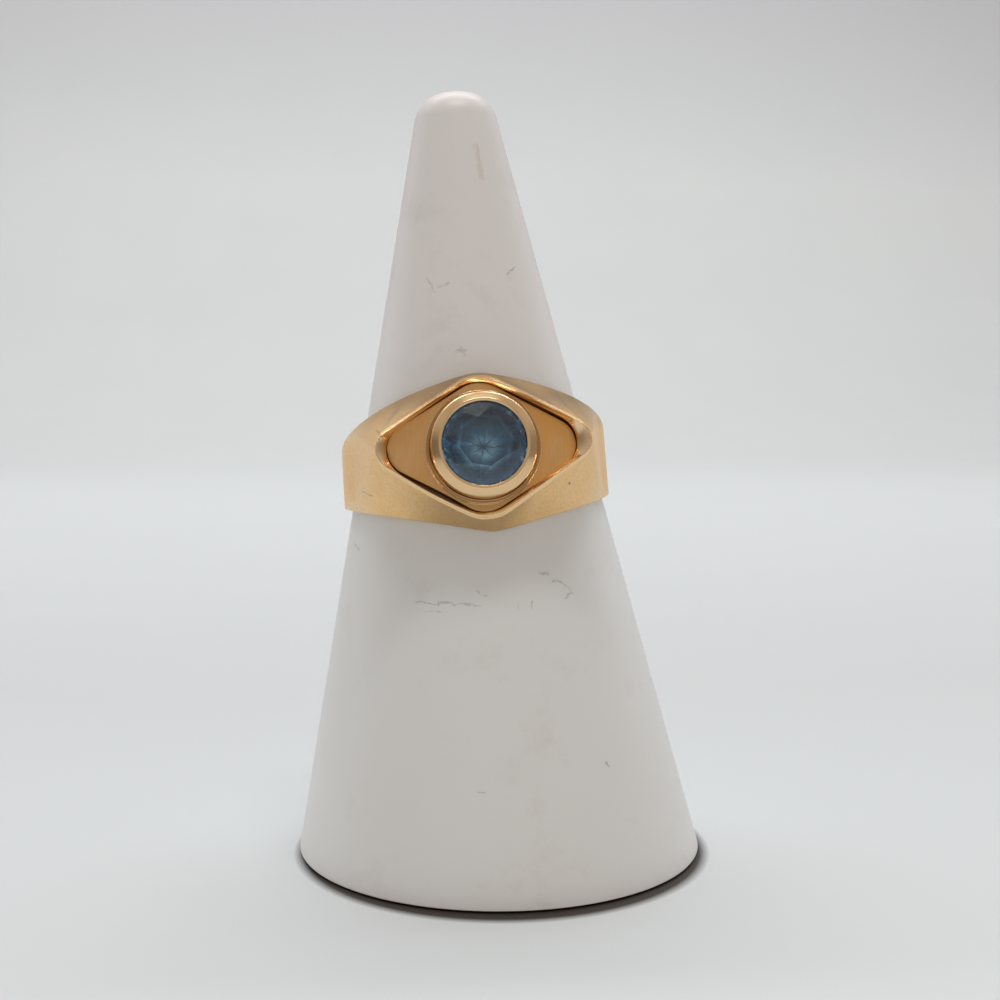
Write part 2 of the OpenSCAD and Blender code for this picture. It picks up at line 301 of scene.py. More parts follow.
# A lathe turns the profile that an object's own mesh draws in X and Z about the Z axis. Each
# step round is a copy of the profile, turned on, and the grid's faces join the copies.
lathe, nodes, given = new_tree(
    "lathe", {"Profile": "Geometry", "Steps round": "Int", "Finish": "Material"}, "Turned")
rows = nodes.make("GeometryNodeAttributeDomainSize", {"Geometry": given["Profile"]})
point_count = rows.outputs["Point Count"]
grid = nodes.make("GeometryNodeMeshGrid", {
    "Size X": 1.0, "Size Y": 1.0,
    "Vertices X": nodes.math("ADD", given["Steps round"], 1),
    "Vertices Y": point_count,
})
index = nodes.make("GeometryNodeInputIndex")
step = nodes.math("FLOOR", nodes.math("DIVIDE", index, point_count))
row = nodes.math("MODULO", index, point_count)
angle = nodes.times(nodes.math("DIVIDE", step, given["Steps round"]), 2 * pi)
sampled = nodes.make(
    "GeometryNodeSampleIndex",
    {"Geometry": given["Profile"], "Value": nodes.make("GeometryNodeInputPosition"), "Index": row},
    data_type="FLOAT_VECTOR")
turned = nodes.make("ShaderNodeVectorRotate", {"Vector": sampled, "Angle": angle},
                    rotation_type="Z_AXIS")
placed = nodes.make("GeometryNodeSetPosition", {"Geometry": grid.outputs["Mesh"], "Position": turned})
closed = nodes.make("GeometryNodeMergeByDistance", {"Geometry": placed, "Distance": 0.0001 * mm})
real = nodes.make("GeometryNodeRealizeInstances", {"Geometry": closed})
dressed = nodes.make("GeometryNodeSetMaterial", {"Geometry": real, "Material": given["Finish"]})
nodes.make("NodeGroupOutput", {"Turned": dressed})

# The profile starts at the tip, rounds it and runs straight down to below the foot
tan_side = tan(cone_half_angle)
round_r = (cone_top + cone_tip_round) * tan_side - cone_tip_round / cos(cone_half_angle)
tip = [(round_r + cone_tip_round * cos(a), -cone_top - cone_tip_round + cone_tip_round * sin(a))
       for a in np.linspace(pi / 2, cone_half_angle, tip_steps + 1)]
tip_end_r, tip_end_z = tip[-1]
side_end = apex_h * 1.2
straight_side = [(tip_end_r + (side_end * tan_side - tip_end_r) * s / side_steps,
                  tip_end_z - (side_end + tip_end_z) * s / side_steps)
                 for s in range(1, side_steps + 1)]
cone_profile = [(0, -cone_top)] + tip + straight_side
cone_mesh = grown("ring_cone", profile_mesh("cone_profile", cone_profile), lathe,
                  {"Steps round": cone_steps, "Finish": cone_white})
cone_mesh.transform(cone_axis)

# The leaning cone is cut level above the floor, and the foot is stepped down from the cut
shape = bmesh.new()
shape.from_mesh(cone_mesh)
cut = bmesh.ops.bisect_plane(shape, geom=shape.verts[:] + shape.edges[:] + shape.faces[:],
                             plane_co=(0, 0, foot_edge), plane_no=(0, 0, -1), clear_outer=True)
edge_loop = [e for e in cut["geom_cut"] if isinstance(e, bmesh.types.BMEdge)]
foot = bmesh.ops.contextual_create(shape, geom=edge_loop)["faces"][0]
edge_places = [v.co.copy() for v in foot.verts]
for height, inwards in foot_steps:
    foot = bmesh.ops.extrude_discrete_faces(shape, faces=[foot])["faces"][0]
    share = 1 - inwards * mm / (cone_foot_w / 2)
    for vert, edge_place in zip(foot.verts, edge_places):
        vert.co = (edge_place.x * share, edge_place.y * share, height * mm)
shape.to_mesh(cone_mesh)
shape.free()
finish_piece("ring_cone_piece", cone_mesh, cone_white, ["ring_cone"])

# Band
# The shank and its lozenge head are one casting of yellow gold. The flanks are satin, with
# fine scratches, and the slope inside the rim is polished down to the pocket for the plate.
bore_r = 9.4
out_r = bore_r + 0.46
seat_r = bore_r - 0.04
back_w = 3.3
head_w = 11.2
taper_w = 3.6
taper_ease = 0.62
peak_round = 3.5
low_peak_turn = 3
right_taper = 0.88
rim_h = 11.95
rim_rise = 0.8
rim_skew = 0.03
rim_bow = {1: 0.10, -1: 0.26}
pocket_shift = -0.1
pocket_h = 11.65
pocket_depth = 0.78
azure_r = 1.7
# The turns in degrees at which the rim's corners and the shoulders end, and the steps to them
flank_end = 33
flank_steps = 28
shoulder_end = 64
shoulder_steps = 14
shoulder_ease = 1.6
back_steps = 44
# How far the rounded edges reach, the land beside the rim, and the slope inside it
bore_soft = 0.06
side_soft = 0.05
edge_soft = 0.13
land_w = 0.26
land_back = 0.27
land_soft = 0.1
shoulder_soft = 0.7
slope_shares = (0.25, 0.6, 0.85)
slope_bow = 1.5
lip_drop = 0.15
tip_drop = 0.38
# Points that are closer to each other than this become one
weld = 0.002

satin_dark = (0.85, 0.53, 0.225, 1)
satin_light = (0.91, 0.58, 0.255, 1)
brush_light = (0.95, 0.69, 0.37, 1)
speck_brown = (0.56, 0.33, 0.13, 1)
# Painted shade for the upper flank and the middle of the lower flank
flank_shade = (0.38, 0.24, 0.105, 1)
slope_gold = (0.90, 0.66, 0.40, 1)
# Painted shade for the seam round the plate
seam_shade = (0.12, 0.065, 0.025, 1)
dent_brown = (0.20, 0.11, 0.04, 1)
# A pit on the lower right flank, a scratch near the left end and a crease above it, listed as
# the scuffs are
dents = [
    (3.94, 28.0, 4.0, 27.92, 0.10, 0.8),
    (-10.1, 27.2, -9.4, 26.95, 0.06, 0.5),
    (-9.0, 31.45, -8.4, 31.1, 0.13, 0.35),
]

# The ring leans back with the inside of its head along the cone's front, and has slid down
# until the lower inner edge of its back meets the cone. Its own frame is in millimetres.
seat_run = 2 * seat_r / tan(2 * cone_half_angle) - back_w / 2
ring_drop = seat_run * cos(cone_half_angle) + seat_r * sin(cone_half_angle)
ring_back = seat_r * cos(cone_half_angle) - seat_run * sin(cone_half_angle)
ring_frame = (cone_axis @ Matrix.Translation((0, ring_back * mm, -ring_drop * mm))
              @ Matrix.Rotation(-cone_half_angle, 4, "X") @ Matrix.Scale(mm, 4))
head_z = (ring_frame @ Vector((0, -rim_h, 0))).z


class Lozenge:
    """A lozenge with rounded corners, from its sharp diagonals and its corners' radii."""

    def __init__(self, length, width, tip_r, vertex_r):
        self.a, self.b = length / 2, width / 2
        self.lean = atan2(width, length)
        self.tip_r, self.vertex_r = tip_r, vertex_r
        self.tip_x = self.a - tip_r / sin(self.lean)
        self.vertex_y = self.b - vertex_r / cos(self.lean)
        self.end = self.tip_x + tip_r

    def half(self, x):
        """Half width at a distance from the middle."""
        if x >= self.end:
            return 0.0
        if x > self.tip_x + self.tip_r * sin(self.lean):
            return sqrt(self.tip_r ** 2 - (x - self.tip_x) ** 2)
        if x < self.vertex_r * sin(self.lean):
            return self.vertex_y + sqrt(self.vertex_r ** 2 - x * x)
        return self.b * (1 - x / self.a)

    def reach(self, angle, inset):
        """Distance from the middle to the edge, or to a line that lies inside it by the inset."""
        c, s = abs(cos(angle)), abs(sin(angle))
        tip_r, vertex_r = self.tip_r - inset, self.vertex_r - inset
        x, y = self.tip_x + tip_r * sin(self.lean), tip_r * cos(self.lean)
        if s * x < c * y:
            return self.tip_x * c + sqrt(tip_r ** 2 - (self.tip_x * s) ** 2)
        x, y = vertex_r * sin(self.lean), self.vertex_y + vertex_r * cos(self.lean)
        if s * x > c * y:
            return self.vertex_y * s + sqrt(vertex_r ** 2 - (self.vertex_y * c) ** 2)
        a, b = self.a - inset / sin(self.lean), self.b - inset / cos(self.lean)
        return 1 / (c / a + s / b)


rim = Lozenge(length=16.6, width=10.15, tip_r=1.2, vertex_r=2.5)
wall = Lozenge(length=16.3, width=9.58, tip_r=1.82, vertex_r=2.32)


def band_half(turn):
    """Half width of the band at a turn in degrees from its peak."""
    over = head_w / 2 + (taper_w - head_w) / 2 * sqrt(turn ** 2 + peak_round ** 2) / 90 - back_w / 2
    return back_w / 2 + (over + sqrt(over ** 2 + taper_ease ** 2)) / 2


def side_half(turn, side):
    """Half width above the middle, where the band tapers less on the right, or below the middle."""
    if side > 0:
        return band_half(turn * right_taper if turn > 0 else turn)
    return band_half(turn - low_peak_turn * cos(radians(turn)))


def on_band(r, turn, z):
    return Vector((r * sin(radians(turn)), -r * cos(radians(turn)), z))


def on_rim(share, side, outline=rim, level=None):
    """Point of a lozenge round the pocket, at a share of the way to its left or right tip. It
    lies at a level, or else on the rim's rise towards the tips."""
    x = outline.end * sin(share * pi / 2)
    half = outline.half(abs(x))
    if side * x > 0:
        half += rim_bow[side] * sin(pi * abs(x) / outline.end)
    if level is not None:
        return Vector((x, -level, side * half))
    rise = rim_rise * abs(x) / outline.end
    return Vector((x - side * half * rim_skew, -rim_h - rise, side * half))


def crest(turn, side, width):
    """Point of the rim, of the shoulder's edge beyond it or of the shank's edge."""
    hand = 1 if turn > 0 else -1
    if abs(turn) <= flank_end:
        return on_rim(turn / flank_end, side)
    foot = on_band(out_r, hand * shoulder_end, side * (width - edge_soft))
    if abs(turn) < shoulder_end:
        share = (abs(turn) - flank_end) / (shoulder_end - flank_end)
        return on_rim(hand, side).lerp(foot, share ** shoulder_ease)
    return on_band(out_r, turn, side * (width - edge_soft))


def between(start, end, near_start, near_end, inner):
    """Points on the line from start to end: one close to each end, and some spread between."""
    length = (end - start).length
    first, last = min(near_start / length, 0.3), 1 - min(near_end / length, 0.3)
    return [start.lerp(end, first + (last - first) * i / (inner + 1)) for i in range(inner + 2)]


def flank(turn, side):
    """One side of a section: from the finger hole over the edge and up the flank to the crest."""
    width = side_half(turn, side)
    limit = shoulder_end if turn > 0 else -shoulder_end
    foot_width = side_half(limit, side) if abs(turn) < shoulder_end else width
    inside, edge = on_band(bore_r, turn, side * width), on_band(out_r, turn, side * width)
    top = crest(turn, side, foot_width)
    past = min(max((abs(turn) - flank_end) / (shoulder_end - flank_end), 0), 1)
    # Beside the rim the flank turns forward in a narrow land, which fades out on the shoulder
    straight = top.lerp(edge, 0.2)
    land = top + Vector((0, land_back, side * land_w))
    corner = land.lerp(straight, min(past * 4, 1))
    return ([inside] + between(inside, edge, side_soft, edge_soft, 0) + [edge]
            + between(edge, corner, edge_soft, land_soft + shoulder_soft * past, 2)
            + [corner, corner.lerp(top, 0.3), corner.lerp(top, 0.75), top])


def row_of(shape, points, shine=0.0, end_shine=None):
    """A row of new points with one polish, and another for its last three points if given."""
    polish = shape.verts.layers.float["polish"]
    row = [shape.verts.new(p) for p in points]
    for vert in row:
        vert[polish] = shine
    if end_shine is not None:
        for vert in row[-3:]:
            vert[polish] = end_shine
    return row


def skin(shape, rows, closed):
    """Quads between rows of points, and from the last row to the first if closed."""
    for i in range(len(rows) - (0 if closed else 1)):
        here, there = rows[i], rows[(i + 1) % len(rows)]
        for j in range(len(here) - 1):
            shape.faces.new((here[j], here[j + 1], there[j + 1], there[j]))


flank_turns = [flank_end * i / flank_steps for i in range(-flank_steps, flank_steps + 1)]
shoulder_turns = [flank_end + (shoulder_end - flank_end) * i / shoulder_steps
                  for i in range(1, shoulder_steps + 1)]
back_turns = [shoulder_end + (360 - 2 * shoulder_end) * i / back_steps for i in range(1, back_steps)]
far_turns = shoulder_turns + [t if t <= 180 else t - 360 for t in back_turns]
far_turns += [-t for t in reversed(shoulder_turns)]
turns = flank_turns + far_turns

shape = bmesh.new()
shape.verts.layers.float.new("polish")
grime_and_seam_shade = shape.verts.layers.float.new("grime_and_seam_shade")
# The shank has been worn smoother than the head, and its lighter polished gold is also a painted
# reflection of the pale room where it turns away. The land below the rim is polished
wear_and_sheen = [0.6 * min(max((abs(t) - 45) / 20, 0), 1) for t in turns]
land_shine = [0.7 * min(max((flank_end + 6 - abs(t)) / 8, 0), 1) for t in turns]
low_rows = [row_of(shape, flank(t, -1), worn, max(worn, land))
            for t, worn, land in zip(turns, wear_and_sheen, land_shine)]
high_rows = [row_of(shape, flank(t, 1), worn) for t, worn in zip(turns, wear_and_sheen)]
skin(shape, low_rows, True)
skin(shape, high_rows, True)
bore_rows = []
for t in turns:
    low, high = flank(t, -1)[0], flank(t, 1)[0]
    across = [low] + between(low, high, bore_soft, bore_soft, 3) + [high]
    bore_rows.append(row_of(shape, across))
skin(shape, bore_rows, True)
# Beyond the rim's corners the crest opens into the outer face of the shoulders and shank
outer_rows = []
for t in [flank_end] + far_turns + [-flank_end]:
    low, high = flank(t, -1)[-1], flank(t, 1)[-1]
    outer_rows.append(row_of(shape, [low.lerp(high, quarter / 4) for quarter in range(5)]))
skin(shape, outer_rows, False)


def pocket_loop(outline, level=None):
    """A closed loop of the rim, or of the pocket's wall, which lies a little further to the left."""
    shares = [t / flank_end for t in flank_turns]
    loop = [on_rim(s, -1, outline, level) for s in shares]
    loop += [on_rim(s, 1, outline, level) for s in reversed(shares[1:-1])]
    if outline is wall:
        loop = [point + Vector((pocket_shift, 0, 0)) for point in loop]
    return loop + loop[:1]


rim_loop = pocket_loop(rim)
lip_loop = [p + Vector((0, lip_drop + tip_drop * abs(p.x) / wall.end, 0)) for p in pocket_loop(wall)]
floor_loop = pocket_loop(wall, pocket_h - pocket_depth)
floor_middle = [Vector((0, pocket_depth - pocket_h, 0))] * len(rim_loop)
slope_rows = [row_of(shape, rim_loop, 1.0)]
for share in slope_shares:
    slope = [a.lerp(b, share) for a, b in zip(rim_loop, lip_loop)]
    for point, top, foot in zip(slope, rim_loop, lip_loop):
        point.y = top.y + (foot.y - top.y) * share ** slope_bow
    slope_rows.append(row_of(shape, slope, 1.0))
slope_rows.append(row_of(shape, lip_loop, 1.0))
seam_rows = []
for loop, toward, shares in ((lip_loop, floor_loop, (0.1, 0.9)),
                             (floor_loop, floor_middle, (0, 0.03, 0.35, 0.7))):
    seam_rows += [row_of(shape, [a.lerp(b, s) for a, b in zip(loop, toward)], 1.0) for s in shares]
# Painted shade darkens the seam at the plate's lower left, and a little at its upper right
for row in seam_rows:
    for vert in row:
        if vert.co.x * vert.co.z > 0:
            vert[grime_and_seam_shade] = 1.0 if vert.co.x < 0 else 0.4
skin(shape, slope_rows + seam_rows, False)
shape.faces.new(seam_rows[-1][:-1])
bmesh.ops.remove_doubles(shape, verts=shape.verts, dist=weld)
bmesh.ops.dissolve_degenerate(shape, dist=weld, edges=shape.edges)
bmesh.ops.recalc_face_normals(shape, faces=shape.faces)
cage = bpy.data.meshes.new("band")
shape.to_mesh(cage)
shape.free()

# The round hole behind the stone runs from the pocket's floor into the finger hole
hole = bmesh.new()
bmesh.ops.create_cone(hole, cap_ends=True, segments=64, radius1=azure_r, radius2=azure_r, depth=rim_h,
                      matrix=Matrix.Translation((0, -rim_h / 2, 0)) @ Matrix.Rotation(pi / 2, 4, "X"))
hole_mesh = bpy.data.meshes.new("azure_hole")
hole.to_mesh(hole_mesh)
hole.free()
cutter = bpy.data.objects.new("azure_hole", hole_mesh)
bpy.context.scene.collection.objects.link(cutter)
holder = bpy.data.objects.new("band_cage", cage)
bpy.context.scene.collection.objects.link(holder)
rounding = holder.modifiers.new("rounding", "SUBSURF")
rounding.levels = 2
rounding.render_levels = 2
piercing = holder.modifiers.new("piercing", "BOOLEAN")
piercing.operation = "DIFFERENCE"
piercing.solver = "EXACT"
piercing.object = cutter
band_mesh = bpy.data.meshes.new_from_object(
    holder.evaluated_get(bpy.context.evaluated_depsgraph_get()))
bpy.data.objects.remove(holder)
bpy.data.objects.remove(cutter)
band_mesh.transform(ring_frame)

band_gold, nodes, shader, place = new_material("satin_gold")
shine = nodes.layer("polish")
brush = nodes.noise(place, 13.0, detail=4, stretch=(1, 1, 16), turn=(cone_half_angle, 0, 0))
crossed = nodes.noise(place, 11.0, detail=4, stretch=(1, 9, 9), turn=(0.3, radians(38), 0))
cloud = nodes.noise(place, 0.45, detail=4)
speck = nodes.noise(place, 7.0, detail=5, roughness=0.7)
marks = nodes.math("ADD", nodes.times(brush, 0.6), nodes.times(crossed, 0.4))
satin = nodes.mix(nodes.ramp(cloud, 0.35, 0.65), satin_dark, satin_light)
satin = nodes.mix(nodes.ramp(marks, 0.42, 0.58, 0, 0.7), satin, brush_light)
satin = nodes.mix(nodes.ramp(speck, 0.54, 0.70, 0, 0.75), satin, speck_brown)
# Painted shade: the upper flank is darkened, and the left half of the lower flank too, but less
upper_flank_shade = nodes.ramp(nodes.along(place, "Z"), head_z + 0.8 * mm, head_z + 3.2 * mm)
middle_flank_shade = nodes.times(nodes.ramp(nodes.along(place, "X"), -7.0 * mm, -4.5 * mm, 0, 0.4),
                           nodes.ramp(nodes.along(place, "X"), 1.5 * mm, -0.5 * mm),
                           nodes.ramp(shine, 0.4, 0.1))
satin = nodes.mix(nodes.math("MAXIMUM", upper_flank_shade, middle_flank_shade), satin, flank_shade)
dented = nodes.times(near_lines(nodes, shaken_place(nodes, place, 0.2), dents),
                     nodes.math("LESS_THAN", nodes.along(place, "Y"), -4 * mm))
gold = nodes.mix(shine, satin, slope_gold)
# Painted shade in the seam round the plate
gold = nodes.mix(nodes.ramp(nodes.layer("grime_and_seam_shade"), 0.1, 0.8), gold, seam_shade)
nodes.put(shader.inputs["Base Color"], nodes.mix(dented, gold, dent_brown))
shader.inputs["Metallic"].default_value = 1.0
nodes.put(shader.inputs["Coat Weight"], nodes.ramp(shine, 0.85, 1.0, 0.0, 0.8))
shader.inputs["Coat Roughness"].default_value = 0.12
satin_rough = nodes.ramp(nodes.math("ADD", marks, cloud), 0.8, 1.2, 0.30, 0.44)
nodes.put(shader.inputs["Roughness"], nodes.math(
    "ADD", nodes.times(satin_rough, nodes.math("SUBTRACT", 1, shine)), nodes.times(shine, 0.2)))
matt = nodes.ramp(shine, 0.0, 1.0, 1.0, 0.15)
grooves = nodes.bump(nodes.times(marks, matt), 0.05)
nodes.put(shader.inputs["Normal"], nodes.bump(nodes.times(speck, matt), 0.02, grooves))
finish_piece("band_piece", band_mesh, band_gold, ["band"])

# Setting
# A lozenge plate lies in the pocket, brushed across its face. The bezel is soldered on it: a low
# step, a wall and a polished bevel, whose lip is pressed over the edge of the stone.
plate = Lozenge(length=16.2, width=9.52, tip_r=1.8, vertex_r=2.3)
plate_h = pocket_h
plate_t = 0.7
plate_turn = 1
plate_soft = 0.06
plate_border = 0.3
plate_draw = 0.12
step_r, step_h = 3.85, 0.16
bezel_r, bezel_h = 3.57, 1.65
mouth_r = 2.83
bevel_h = 0.34
edge_w, edge_h = 0.11, 0.13
chamfer_w, chamfer_h = 0.17, 0.06
cove_w, cove_h = 0.24, 0.2
fillet = 0.07
lip_t = 0.1
setting_steps = 192
# The stone's sizes are here because its seat and its lip follow from them
stone_r = 3.0
stone_gap = 0.03
girdle_t = 0.12
table_r = stone_r * 0.56
star_r = stone_r * 0.8
crown_h = 0.78
pavilion_h = 2.6
star_rise = crown_h * (stone_r - star_r * cos(pi / 8)) / (stone_r - table_r)
girdle_h = (plate_h + bezel_h - lip_t - (stone_r - mouth_r) * star_rise / (stone_r - star_r)
            - stone_gap - girdle_t / 2)

plate_dark = (0.77, 0.455, 0.195, 1)
plate_light = (0.83, 0.52, 0.24, 1)
plate_cloud = (0.78, 0.42, 0.14, 1)
# Painted reflection on the plate's right, and painted shade for its lower corner
plate_warm_reflection = (0.90, 0.46, 0.12, 1)
plate_shade = (0.50, 0.28, 0.10, 1)
bezel_gold = (0.84, 0.58, 0.32, 1)
# Painted shade for the cove at the bezel's foot
cove_shade = (0.36, 0.19, 0.07, 1)

setting_frame = (ring_frame @ Matrix.Rotation(pi / 2, 4, "X")
                 @ Matrix.Rotation(-radians(plate_turn), 4, "Z"))
plate_bottom = plate_h - plate_t
mouth_h = plate_h + bezel_h
stone_seat_r = stone_r + stone_gap
ledge_h = girdle_h - girdle_t / 2
throat_r = azure_r + 0.2
throat_h = ledge_h - (stone_seat_r - throat_r) * pavilion_h / stone_r - stone_gap
# From the plate up over the bezel and down inside: distance from the axis, height, rounding
bezel_corners = [
    (step_r + fillet, plate_h, 0),
    (step_r, plate_h, 0.06),
    (step_r, plate_h + step_h, 0.05),
    (bezel_r, plate_h + step_h, 0.26),
    (bezel_r, mouth_h - bevel_h - edge_h, 0.08),
    (bezel_r - edge_w, mouth_h - bevel_h, 0.04),
    (mouth_r + chamfer_w, mouth_h, 0.04),
    (mouth_r, mouth_h - chamfer_h, 0.01),
    (mouth_r, mouth_h - lip_t, 0),
    (stone_seat_r, girdle_h + girdle_t / 2 + stone_gap, 0),
    (stone_seat_r, ledge_h, 0),
    (throat_r, throat_h, 0.04),
    (throat_r, plate_bottom, 0),
]


def round_corners(corners, steps):
    """The path past (x, y, rounding) corners, each curved from and to a rounding away from it."""
    points = [Vector((x, y)) for x, y, _ in corners]
    path = []
    for i, (_, _, rounding) in enumerate(corners):
        corner, before, after = points[i], points[i - 1], points[(i + 1) % len(points)]
        if rounding == 0:
            path.append(corner)
            continue
        start = corner.lerp(before, min(0.48, rounding / (before - corner).length))
        end = corner.lerp(after, min(0.48, rounding / (after - corner).length))
        for s in range(steps + 1):
            u = s / steps
            path.append(start.lerp(corner, u).lerp(corner.lerp(end, u), u))
    return path


setting_gold, nodes, shader, place = new_material("setting_gold")
shine = nodes.layer("polish")
brush = nodes.noise(place, 18.0, detail=5, stretch=(1, 1, 30), turn=(cone_half_angle, 0, 0))
cloud = nodes.noise(place, 0.30, detail=4)
fine = nodes.noise(place, 9.0, detail=3)
brushed = nodes.mix(nodes.ramp(brush, 0.40, 0.60), plate_dark, plate_light)
brushed = nodes.mix(nodes.ramp(cloud, 0.40, 0.65, 0, 0.55), brushed, plate_cloud)
# Painted light: the plate is warmer in colour on the right, a painted reflection, and painted shade
# darkens it towards its lower corner
right_reflection = nodes.times(nodes.ramp(nodes.along(place, "X"), 0.8 * mm, 2.2 * mm, 0, 0.6),
                   nodes.ramp(cloud, 0.3, 0.55))
brushed = nodes.mix(right_reflection, brushed, plate_warm_reflection)
lower_plate_shade = nodes.ramp(nodes.along(place, "Z"), head_z - 1.8 * mm, head_z - 4.0 * mm, 0, 0.45)
brushed = nodes.mix(lower_plate_shade, brushed, plate_shade)
# The bezel and its step are polished gold
gold = nodes.mix(shine, brushed, bezel_gold)
# Painted shade in the cove at the bezel's foot
cove_darkening = nodes.ramp(nodes.layer("cove_shade_mask"), 0.0, 0.5, 0, 0.8)
nodes.put(shader.inputs["Base Color"], nodes.mix(cove_darkening, gold, cove_shade))
shader.inputs["Metallic"].default_value = 1.0
nodes.put(shader.inputs["Roughness"], nodes.math(
    "ADD", nodes.ramp(shine, 0.0, 1.0, 0.34, 0.14), nodes.ramp(fine, 0.45, 0.7, 0.0, 0.08)))
lines = nodes.times(brush, nodes.ramp(shine, 0.0, 1.0, 1.0, 0.08))
nodes.put(shader.inputs["Normal"], nodes.bump(lines, 0.025))

bezel_line = [(point.x, point.y) for point in round_corners(bezel_corners, 4)]
setting_mesh = grown("setting", profile_mesh("bezel_profile", bezel_line), lathe,
                     {"Steps round": setting_steps, "Finish": setting_gold})
shape = bmesh.new()
shape.from_mesh(setting_mesh)
polish = shape.verts.layers.float.new("polish")
cove_shade_mask = shape.verts.layers.float.new("cove_shade_mask")
for vert in shape.verts:
    vert[polish] = 1.0
    # Painted shade darkens the cove at the bezel's foot
    from_bezel = sqrt(vert.co.x ** 2 + vert.co.y ** 2) - bezel_r
    above_step = vert.co.z - plate_h - step_h
    vert[cove_shade_mask] = 1.0 if -0.02 < from_bezel < cove_w and -0.01 < above_step < cove_h else 0.0


def plate_row(inset, height, inner_r=0.0, share=0.0):
    """A loop of the plate, or a share of the way from it to a circle round the bezel. The plate's
    lower left quarter is drawn in a little, which leaves a wider seam there."""
    points = []
    for i in range(setting_steps + 1):
        angle = 2 * pi * i / setting_steps
        reach = plate.reach(angle, inset)
        if pi < angle < 1.5 * pi:
            reach -= plate_draw * sin(2 * (angle - pi))
        reach += (inner_r - reach) * share
        shift = pocket_shift * (1 - share)
        points.append(Vector((reach * cos(angle) + shift, reach * sin(angle), height)))
    return row_of(shape, points, 0.0 if share < 1 else 1.0)


plate_rows = [plate_row(plate_border, plate_h, step_r + fillet, share)
              for share in (1.0, 0.97, 0.6, 0.25, 0.0)]
plate_rows += [plate_row(inset, height) for inset, height in (
    (plate_soft, plate_h), (plate_soft * 0.3, plate_h - plate_soft * 0.3),
    (0, plate_h - plate_soft), (0, plate_bottom + plate_soft), (plate_soft, plate_bottom))]
plate_rows += [plate_row(plate_border, plate_bottom, throat_r, share) for share in (0.5, 1.0)]
skin(shape, plate_rows, False)
shape.to_mesh(setting_mesh)
shape.free()
setting_mesh.transform(setting_frame)
finish_piece("setting_piece", setting_mesh, setting_gold, ["setting"])

# Spinel
# A round brilliant of grey-blue spinel, held by the bezel's lip. Each eighth has the same eleven
# faces: a wedge of the table, a star, two halves of kites, two upper halves, two of the girdle,
# two lower halves and a main.
stone_turn = 10
lower_r = stone_r * 0.24
edge_wear = 0.024
edge_shade_tone = 0.35
flat_angle = radians(0.4)
girdle_top = girdle_h + girdle_t / 2
girdle_low = girdle_h - girdle_t / 2
table_z = girdle_top + crown_h
lower_z = girdle_low - pavilion_h * (stone_r - lower_r * cos(pi / 8)) / stone_r
spinel_frame = (ring_frame @ Matrix.Rotation(pi / 2, 4, "X")
                @ Matrix.Rotation(radians(stone_turn), 4, "Z"))
stone_middle = spinel_frame @ Vector((0, 0, girdle_h))

# Painted light and shade of the stone's back and crown
pavilion_inner = (0.34, 0.56, 0.70, 1)
pavilion_outer = (0.24, 0.36, 0.48, 1)
pavilion_bright = (0.84, 0.96, 1.0, 1)
pavilion_haze = (0.22, 0.40, 0.52, 1)
worn_edge_shade = (0.015, 0.02, 0.03, 1)
table_tint = (0.80, 0.93, 1.0, 1)
ring_dark = (0.08, 0.10, 0.14, 1)
ring_grey = (0.30, 0.38, 0.46, 1)
border_grey = (0.40, 0.52, 0.62, 1)
border_light = (0.90, 1.0, 1.0, 1)
glow_blue = (0.36, 0.66, 0.82, 1)


def facet_corner(r, z, eighths):
    return (r * cos(eighths * pi / 4), r * sin(eighths * pi / 4), z)


sector_points = [
    facet_corner(0, table_z, 0), facet_corner(table_r, table_z, 0), facet_corner(table_r, table_z, 1),
    facet_corner(star_r, girdle_top + star_rise, 0.5),
    facet_corner(stone_r, girdle_top, 0), facet_corner(stone_r, girdle_top, 0.5),
    facet_corner(stone_r, girdle_top, 1),
    facet_corner(stone_r, girdle_low, 0), facet_corner(stone_r, girdle_low, 0.5),
    facet_corner(stone_r, girdle_low, 1),
    facet_corner(lower_r, lower_z, -0.5), facet_corner(lower_r, lower_z, 0.5),
    facet_corner(0, girdle_low - pavilion_h, 0),
]
sector_facets = [
    (0, 1, 2), (1, 3, 2), (1, 4, 3), (2, 3, 6), (3, 4, 5), (3, 5, 6),
    (4, 7, 8, 5), (5, 8, 9, 6), (7, 11, 8), (8, 11, 9), (7, 10, 12, 11),
]
sector = bpy.data.meshes.new("sector")
sector.from_pydata(sector_points, [], sector_facets)

repeat_round, nodes, given = new_tree(
    "repeat_round", {"Sector": "Geometry", "Copies": "Int", "Finish": "Material"}, "Cut stone")
spots = nodes.make("GeometryNodeMeshLine", {"Count": given["Copies"], "Offset": (0, 0, 0)})
angle = nodes.times(nodes.make("GeometryNodeInputIndex"),
                    nodes.math("DIVIDE", 2 * pi, given["Copies"]))
turned = nodes.make("ShaderNodeCombineXYZ", {"Z": angle})
copies = nodes.make("GeometryNodeInstanceOnPoints", {"Points": spots, "Instance": given["Sector"],
                                                    "Rotation": turned})
real = nodes.make("GeometryNodeRealizeInstances", {"Geometry": copies})
closed = nodes.make("GeometryNodeMergeByDistance", {"Geometry": real, "Distance": 0.001})
dressed = nodes.make("GeometryNodeSetMaterial", {"Geometry": closed, "Material": given["Finish"]})
nodes.make("NodeGroupOutput", {"Cut stone": dressed})

